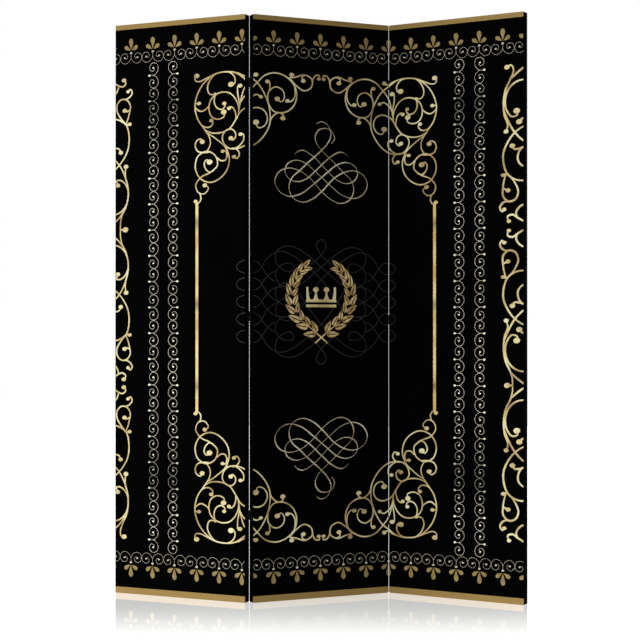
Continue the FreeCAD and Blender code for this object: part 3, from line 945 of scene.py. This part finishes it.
def back_lining():
    """Flat cloth over the back that dips between the bars and lifts between the staples.

    The dip is a parabola across times a fourth power up. The lift is a squared sine along the edge that dies
    away from it.
    """
    column_count, row_count, lift_reach = 41, 141, 12
    size = sizes()
    half_wide = size["panel_width"] / 2 - size["lining_inset"]
    half_high = size["panel_height"] / 2 - size["lining_inset"]
    across, height = np.meshgrid(np.linspace(-half_wide, half_wide, column_count),
                                 np.linspace(-half_high, half_high, row_count))
    open_half = size["panel_width"] / 2 - size["bar_width"]
    rail = size["cross_rail_height"] - size["panel_height"] / 2
    end = size["panel_height"] / 2 - size["bar_width"]
    dip = np.zeros_like(across)
    for low, high in ((-end, rail - size["bar_width"] / 2), (rail + size["bar_width"] / 2, end)):
        up = (2 * height - low - high) / (high - low)
        dip += np.clip(1 - (across / open_half) ** 2, 0, 1) * np.clip(1 - up ** 4, 0, 1)
    from_edge = np.minimum(half_wide - np.abs(across), half_high - np.abs(height))
    along = np.where(half_wide - np.abs(across) < half_high - np.abs(height), height, across)
    lift = np.sin(np.pi * along / size["staple_pitch"]) ** 2 * np.exp(-from_edge / lift_reach)
    level = size["canvas_depth"] + size["lining_thickness"]
    depth = level - size["lining_sag"] * dip + size["lining_puff"] * lift
    points = np.column_stack((across.ravel(), depth.ravel(), height.ravel()))
    return points, points[:, (0, 2)], grid_faces(row_count, column_count)


def add_sheet(panel, name, shape, thickness, material, node):
    """Puts a sheet of cloth on a panel with its thickness, and hides the imported part that it stands for."""
    points, cloth, faces = shape
    points = points + (0, 0, sizes()["panel_height"] / 2)
    mesh = new_mesh(f"{panel}_{name}", in_space(panel, points), faces, cloth * MM)
    clean(mesh)
    mesh.shade_smooth()
    piece = add_piece(mesh, panel, material)
    wall = piece.modifiers.new("thickness", "SOLIDIFY")
    wall.thickness = thickness * MM
    wall.offset = -1
    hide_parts(f"{panel}_{node}")


# Motifs of the print

def scroll_pair(origin, along, away, line):
    """Ball with a stem that parts into two scrolls; along is the row's direction, away that of the stem.

    Each scroll winds from the stem round its far side and in to its own ball.
    """
    head_ball, stem, stem_rows, eye, eye_ball, eye_radius = 4.0, 17.0, 5, (22.0, 15.0), (22.5, 14.0), 3.2
    origin, along, away = (np.asarray(value, float) for value in (origin, along, away))
    made = [ball(origin, head_ball), straight(origin, origin + stem * away, line, stem_rows)]
    path, width = scroll_line(line)
    for side in (-1, 1):
        placed = origin + np.outer(side * (path[:, 0] + eye[0]), along) + np.outer(path[:, 1] + eye[1], away)
        made.append((placed, width))
        made.append(ball(origin + side * eye_ball[0] * along + eye_ball[1] * away, eye_radius))
    return made


def palmette(origin, way):
    """Three drops that spread from one point; way is -1 for up the print and 1 for down."""
    tip_head_radius = (
        ((0, 8), (0, 43.6), 10.0),
        ((-2.5, 7.5), (-23.0, 20.5), 8.2),
        ((2.5, 7.5), (23.0, 20.5), 8.2),
    )
    place, turn = np.array(origin), np.array((1, way))
    return [drop(place + turn * tip, place + turn * head, radius) for tip, head, radius in tip_head_radius]


def leaf(base, tip):
    """Two halves of a pointed leaf with a bare rib between.

    A half swells as the root of the way along times what is left of it: fast to a third, then straight on to
    the tip. The factor brings the fullest place to one.
    """
    rows, rib, plump, factor, start, least = 10, 0.8, 0.47, 2.6, 0.04, 0.3
    share = np.linspace(0, 1, rows)
    span = np.subtract(tip, base).astype(float)
    long = np.linalg.norm(span)
    full = plump * long / 2 * factor * np.sqrt(share) * (1 - share)
    aside = np.array((-span[1], span[0])) / long
    middle = np.asarray(base, float) + np.outer(start + (1 - start) * share, span)
    width = np.maximum(full - rib / 2, least)
    return [(middle + side * np.outer((full + rib) / 2, aside), width) for side in (-1, 1)]


def wreath_branch():
    """Stem and leaf pairs of the left branch; a pair's leaves start a little to their sides of the stem."""
    apart, stem_thick, stem_thin, stem_step = 3.2, 6.5, 2.5, 4.0
    stem = curve_through(BRANCH_STEM, stem_step)
    made = [(stem, np.linspace(stem_thick, stem_thin, len(stem)))]
    for base, *tips in BRANCH_LEAVES:
        across = np.subtract(tips[1], tips[0])
        across = across / np.linalg.norm(across)
        for side, tip in zip((-1, 1), tips):
            made += leaf(np.asarray(base) + side * apart * across, tip)
    return made


def coronet(centre):
    """Plain coronet: two inner points with balls and two outer ones, on a band with a second band below.

    A point narrows from its foot as the square of what is left of its height.
    """
    foot, neck, top, half, inner, rows = 836, 811, 796, 50, 17.5, 10
    inner_tip, inner_foot, ball_lift, ball_radius = 7, 20, 7.5, 9.3
    outer_least, outer_foot, outer_tip = 6.5, 9, 2
    bands, band_height, band_rows = (837, 852), 10.0, 5
    share = np.linspace(0, 1, rows)
    flare = (1 - share) ** 2
    made = []
    for side in (-1, 1):
        across = centre + side * inner
        inner_path = np.column_stack((np.full(rows, across), foot + (neck - foot) * share))
        made.append((inner_path, inner_tip + inner_foot * flare))
        made.append(ball((across, neck - ball_lift), ball_radius))
        wide = outer_least + outer_foot * flare + outer_tip * share
        outer_path = np.column_stack((centre + side * (half - wide / 2), foot + (top - foot) * share))
        made.append((outer_path, wide))
    for down in bands:
        made.append(straight((centre - half, down), (centre + half, down), band_height, band_rows))
    return made


def woven_lines():
    """Upper woven flourish: two pen lines, of which the second runs as a mirror image of the first."""
    aside = 1.5  # from the design's centre to the line that the runs mirror
    ink = prints()
    centre = ink["centre_line"] + aside
    flipped = tuple((2 * centre - across, down) for across, down in FLOURISH_RUN)
    lines = (FLOURISH_FIRST_LOOP + FLOURISH_RUN, FLOURISH_SECOND_LOOP + flipped)
    return [nib_stroke(points, ink["nib_thin"], ink["nib_thick"]) for points in lines]


def faint_lines():
    """Strands of the faint flourish that leave its upper loops at both sides, and its upper end loop."""
    ink = prints()
    thin, thick = ink["faint_thin"], ink["faint_thick"]
    strands = []
    for row, way, tail in FAINT_STRANDS:
        loop = tuple((across, row + way * down) for across, down in FAINT_HALF_LOOP)
        strands.append(stroke(loop + tail, thin, thick, FAINT_STEP))
    strands += mirrored(strands, across=ink["centre_line"])
    strands.append(stroke(FAINT_END_LOOP, thin, thick, FAINT_STEP))
    return strands


# Operators

class SCREEN_OT_canvas(bpy.types.Operator):
    """Wraps the printed canvas round each panel"""

    bl_idname = "screen.canvas"
    bl_label = "Printed canvas"

    def execute(self, context):
        size = sizes()
        material = printed_canvas()
        for panel in PANELS:
            add_sheet(panel, "wrapped_canvas", wrapped_canvas(panel), size["canvas_thickness"], material,
                      "canvas")
        return {"FINISHED"}


class SCREEN_OT_lining(bpy.types.Operator):
    """Lays the lining over the back of each panel"""

    bl_idname = "screen.lining"
    bl_label = "Back lining"

    def execute(self, context):
        size = sizes()
        material = lining_cotton()
        for panel in PANELS:
            add_sheet(panel, "stapled_lining", back_lining(), size["lining_thickness"], material,
                      "back_lining")
        return {"FINISHED"}


class SCREEN_OT_borders(bpy.types.Operator):
    """Prints the palmette rows with their scrolls along the top and bottom"""

    bl_idname = "screen.borders"
    bl_label = "Top and bottom borders"

    def execute(self, context):
        ink, paint = prints(), colours()
        reach, flower_blotch, scroll_blotch, dark = 10, 25, 40, 0.8
        scrolls, flowers = [], []
        for k in range(-reach, reach + 1):
            head = (ink["border_centre"] + k * ink["border_pitch"], ink["border_down"])
            scrolls += scroll_pair(head, (1, 0), (0, 1), ink["border_line"])
            flowers += palmette(head, -1)
        flower, scroll = paint.gold_flower, paint.gold_fine
        flat = printed_ink("gold_ink_flat", (darker(flower, dark), flower), flower_blotch)
        fine = printed_ink("gold_ink_fine", (darker(scroll, dark), scroll), scroll_blotch)
        line = ink["middle_line"]
        print_strokes("border_scrolls", scrolls + mirrored(scrolls, down=line), fine)
        print_strokes("palmettes", flowers + mirrored(flowers, down=line), flat)
        return {"FINISHED"}


class SCREEN_OT_columns(bpy.types.Operator):
    """Prints the upright columns of scroll pairs"""

    bl_idname = "screen.columns"
    bl_label = "Scroll columns"

    def execute(self, context):
        ink, gold = prints(), colours().gold_bright
        reach, blotch, dark = 9, 40, 0.85
        outer, inner = ink["column_across"], ink["column_across"] + ink["column_gap"]
        strokes = []
        for k in range(-reach, reach + 1):
            down = ink["middle_line"] + k * ink["column_pitch"]
            strokes += scroll_pair((outer, down), (0, 1), (1, 0), ink["column_line"])
            strokes += scroll_pair((inner, down), (0, 1), (-1, 0), ink["column_line"])
        bright = printed_ink("gold_ink_bright", (darker(gold, dark), gold), blotch, COLUMN_SHADE)
        print_strokes("column_scrolls", strokes + mirrored(strokes, across=ink["centre_line"]), bright)
        return {"FINISHED"}


class SCREEN_OT_corners(bpy.types.Operator):
    """Prints the four corner scrolls and the upright bars between them"""

    bl_idname = "screen.corners"
    bl_label = "Corner scrolls and bars"

    def execute(self, context):
        ink, paint = prints(), colours()
        blotch, bar_top, bar_rows, bar_rise = 60, 546, 9, 1.1
        knob_aside, knob_up, knob_radius = 4.3, 3, 7
        centre, line, across = ink["centre_line"], ink["corner_line"], ink["bar_across"]
        bar = straight((across, bar_top), (across, 2 * line - bar_top), ink["bar_line"], bar_rows)
        knob = ball((across - knob_aside, bar_top - knob_up), knob_radius)
        uprights = [bar, knob, *mirrored([knob], down=line)]
        scrolls = drawn(CORNER_STROKES, ink["scroll_thin"], ink["scroll_thick"])
        scrolls += mirrored(scrolls, across=centre)
        scrolls += mirrored(scrolls, down=line)
        pale = printed_ink("gold_ink_runs", (paint.gold_shade, paint.gold_middle, paint.gold_light), blotch)
        deep = printed_ink("gold_ink_bar", (paint.bar_shade, paint.bar_gold), blotch, BAR_SHADE)
        print_strokes("corner_scrolls", scrolls, pale)
        print_strokes("upright_bars", uprights + mirrored(uprights, across=centre), deep, rise=bar_rise)
        return {"FINISHED"}


class SCREEN_OT_edge_scrolls(bpy.types.Operator):
    """Prints the scrolls that the outer edges cut off"""

    bl_idname = "screen.edge_scrolls"
    bl_label = "Edge scrolls"

    def execute(self, context):
        ink = prints()
        first, second = ink["edge_scroll_line"], ink["edge_second_line"]
        friezes = (
            ("left_thick", LEFT_EDGE_STROKES, LEFT_EDGE_KNOB, LEFT_EDGE_KNOB, LEFT_EDGE_CURL),
            ("right_thick", RIGHT_EDGE_STROKES, RIGHT_EDGE_CURL, RIGHT_EDGE_KNOB, RIGHT_EDGE_KNOB),
        )
        strokes = []
        for thick, rows, *ends in friezes:
            upper, middle, lower = (drawn(rows + end, ink["edge_thin"], ink[thick]) for end in ends)
            strokes += upper + mirrored(middle, down=first)
            strokes += mirrored(mirrored(lower, down=first), down=second)
        print_strokes("edge_scrolls", strokes, bpy.data.materials["gold_ink_runs"])
        return {"FINISHED"}


class SCREEN_OT_flourishes(bpy.types.Operator):
    """Prints the two woven flourishes and the faint one behind the wreath"""

    bl_idname = "screen.flourishes"
    bl_label = "Flourishes"

    def execute(self, context):
        ink, paint = prints(), colours()
        pen_blotch, grey_blotch, dark, grey_rise = 60, 80, 0.7, 0.4
        woven, faint = woven_lines(), faint_lines()
        woven += mirrored(woven, down=ink["flourish_line"])
        faint += mirrored(faint, down=ink["faint_line"])
        pen = printed_ink("gold_ink_pen", (paint.pen_shade, paint.pen_gold), pen_blotch)
        grey = printed_ink("grey_ink_faint", (darker(paint.grey_ink, dark), paint.grey_ink), grey_blotch)
        print_strokes("woven_flourish", woven, pen)
        print_strokes("faint_flourish", faint, grey, rise=grey_rise)
        return {"FINISHED"}


class SCREEN_OT_wreath(bpy.types.Operator):
    """Prints the laurel wreath and the coronet in it"""

    bl_idname = "screen.wreath"
    bl_label = "Wreath and coronet"

    def execute(self, context):
        ink, paint = prints(), colours()
        aside, blotch, leaf_rise, coronet_rise = 0.5, 14, 1.4, 1.5
        branch = wreath_branch()
        branch += mirrored(branch, across=ink["centre_line"] + aside)
        leaves = printed_ink("gold_ink_leaf", (paint.leaf_shade, paint.leaf_gold), blotch)
        runs = bpy.data.materials["gold_ink_runs"]
        print_strokes("laurel_wreath", branch, leaves, rise=leaf_rise)
        print_strokes("coronet", coronet(ink["centre_line"]), runs, rise=coronet_rise)
        return {"FINISHED"}


class SCREEN_OT_hardware(bpy.types.Operator):
    """Finishes the frame bars, dowels, staples, hinges, pins and screws"""

    bl_idname = "screen.hardware"
    bl_label = "Wood and metal finishes"

    def execute(self, context):
        paint = colours()
        # Mark in a node's name, and its finish: wood with its grain width and direction, metal with its
        # metallic share, roughness and spot size
        finishes = (
            ("_stile", sawn_wood("planed_pine_upright", paint.pine_pale, paint.pine_dark, 5, "Z")),
            ("_rail", sawn_wood("planed_pine_level", paint.pine_pale, paint.pine_dark, 5, "X")),
            ("_dowels", sawn_wood("turned_beech", paint.beech, darker(paint.beech, 0.7), 1.5, "X")),
            ("_staples", metal("galvanised_staple_wire", paint.bright_wire, 1.0, 0.35, 1.5)),
            ("_screws", metal("blackened_screw_steel", paint.black_paint, 0.6, 0.4, 1.0)),
            ("_leaf_", metal("black_painted_hinge_steel", paint.black_paint, 0.0, 0.45, 2.0)),
            ("_pin_", metal("blackened_pin_steel", paint.black_paint, 0.7, 0.35, 1.0)),
        )
        for name, node in frame["nodes"].items():
            for mark, material in finishes:
                if mark in name:
                    node.data.materials.clear()
                    node.data.materials.append(material)
        return {"FINISHED"}


# Studio

def add_floor():
    """Square floor that the screen stands on."""
    corners = FLOOR_HALF * np.array(((-1, -1, 0), (1, -1, 0), (1, 1, 0), (-1, 1, 0)))
    mesh = new_mesh("studio_floor", corners, [[0, 1, 2, 3]])
    mesh.materials.append(studio_floor())
    add_object("studio_floor", mesh)


def add_world():
    """White surroundings that look brighter, in the camera and in mirrors, than the light they give."""
    world = bpy.data.worlds.new("studio_white")
    world.use_nodes = True
    tree = world.node_tree
    rays = add_node(tree, "LightPath").outputs
    seen = add_node(tree, "Math", {0: rays["Is Camera Ray"], 1: rays["Is Glossy Ray"]}, operation="MAXIMUM")
    strength = add_node(tree, "MapRange", {"Value": seen, "To Min": DIFFUSE_WORLD, "To Max": SEEN_WORLD})
    fill(tree, tree.nodes["Background"], {"Color": (1, 1, 1, 1), "Strength": strength})
    bpy.context.scene.world = world


def place_object(name, data, place, turn):
    """New object at a place, turned by angles in degrees."""
    made = add_object(name, data)
    made.location = place
    made.rotation_euler = [radians(angle) for angle in turn]
    return made


class SCREEN_OT_stage(bpy.types.Operator):
    """Sets the white studio: floor, light and camera"""

    bl_idname = "screen.stage"
    bl_label = "Studio"

    def execute(self, context):
        add_floor()
        add_world()
        for name, kind, place, turn, settings in LAMPS:
            lamp = bpy.data.lights.new(name, kind)
            for key, value in settings.items():
                setattr(lamp, key, value)
            place_object(name, lamp, place, turn)
        lens = bpy.data.cameras.new("camera")
        lens.sensor_width = SENSOR_WIDTH
        lens.lens = CAMERA_PIXELS / IMAGE_WIDTH * SENSOR_WIDTH
        context.scene.camera = place_object("camera", lens, CAMERA_PLACE, CAMERA_TURN)
        context.scene.view_settings.view_transform = "Standard"
        return {"FINISHED"}


class SCREEN_PT_sidebar(bpy.types.Panel):
    """Lists the screen's operators and values"""

    bl_idname = "SCREEN_PT_sidebar"
    bl_label = "Folding screen"
    bl_space_type = "VIEW_3D"
    bl_region_type = "UI"
    bl_category = "Screen"

    def draw(self, context):
        for step in OPERATORS:
            self.layout.operator(step.bl_idname)
        for group_name, kind in GROUPS.items():
            box = self.layout.box()
            for name in kind.__annotations__:
                box.prop(getattr(context.scene, group_name), name)


GROUPS = {"screen_sizes": ScreenSizes, "screen_prints": PrintSizes, "screen_colours": ScreenColours}
OPERATORS = (
    SCREEN_OT_canvas, SCREEN_OT_lining, SCREEN_OT_borders, SCREEN_OT_columns, SCREEN_OT_corners,
    SCREEN_OT_edge_scrolls, SCREEN_OT_flourishes, SCREEN_OT_wreath, SCREEN_OT_hardware, SCREEN_OT_stage,
)
CLASSES = (*GROUPS.values(), *OPERATORS, SCREEN_PT_sidebar)


def register():
    for item in CLASSES:
        bpy.utils.register_class(item)
    for name, group in GROUPS.items():
        setattr(bpy.types.Scene, name, PointerProperty(type=group))


def unregister():
    for name in GROUPS:
        delattr(bpy.types.Scene, name)
    for item in reversed(CLASSES):
        bpy.utils.unregister_class(item)


def main():
    """Registers the add-on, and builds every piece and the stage."""
    register()
    for step in OPERATORS:
        group, name = step.bl_idname.split(".")
        getattr(getattr(bpy.ops, group), name)()


if __name__ == "__main__":
    main()
